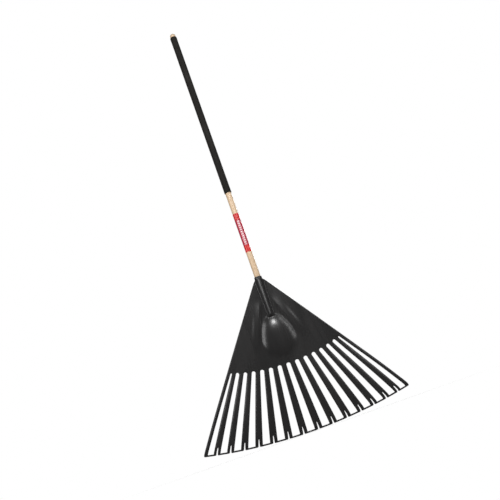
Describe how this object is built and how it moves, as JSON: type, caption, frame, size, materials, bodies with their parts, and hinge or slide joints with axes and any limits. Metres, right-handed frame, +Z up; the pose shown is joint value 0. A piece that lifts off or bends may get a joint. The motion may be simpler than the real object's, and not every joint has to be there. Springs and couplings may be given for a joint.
{
  "type": "leaf rake",
  "caption": "Lawn leaf rake: wide fan head with closed tine loops, hooked tips and a tapered socket, on a long wooden handle with a cushion grip.",
  "frame": {"origin": "middle of the base of the whole rake's box, at the level of the lowest tine tips", "axes": "+Z up the handle's axis, +X across the fan, -Y the upper side of the head that carries the socket and the dome; the tips hook towards +Y"},
  "size_m": [0.762, 0.0926, 1.643],
  "materials": {
    "head_plastic": "satin moulded",
    "handle_wood": "clear lacquer",
    "grip_foam": "matte",
    "label_film": "gloss film",
    "screw_zinc": "zinc plated"
  },
  "bodies": {
    "root": {"rake_head": "head_plastic", "handle": "handle_wood", "cushion_grip": "grip_foam", "handle_label": "label_film", "head_screw": "screw_zinc"}
  },
  "joints": []
}
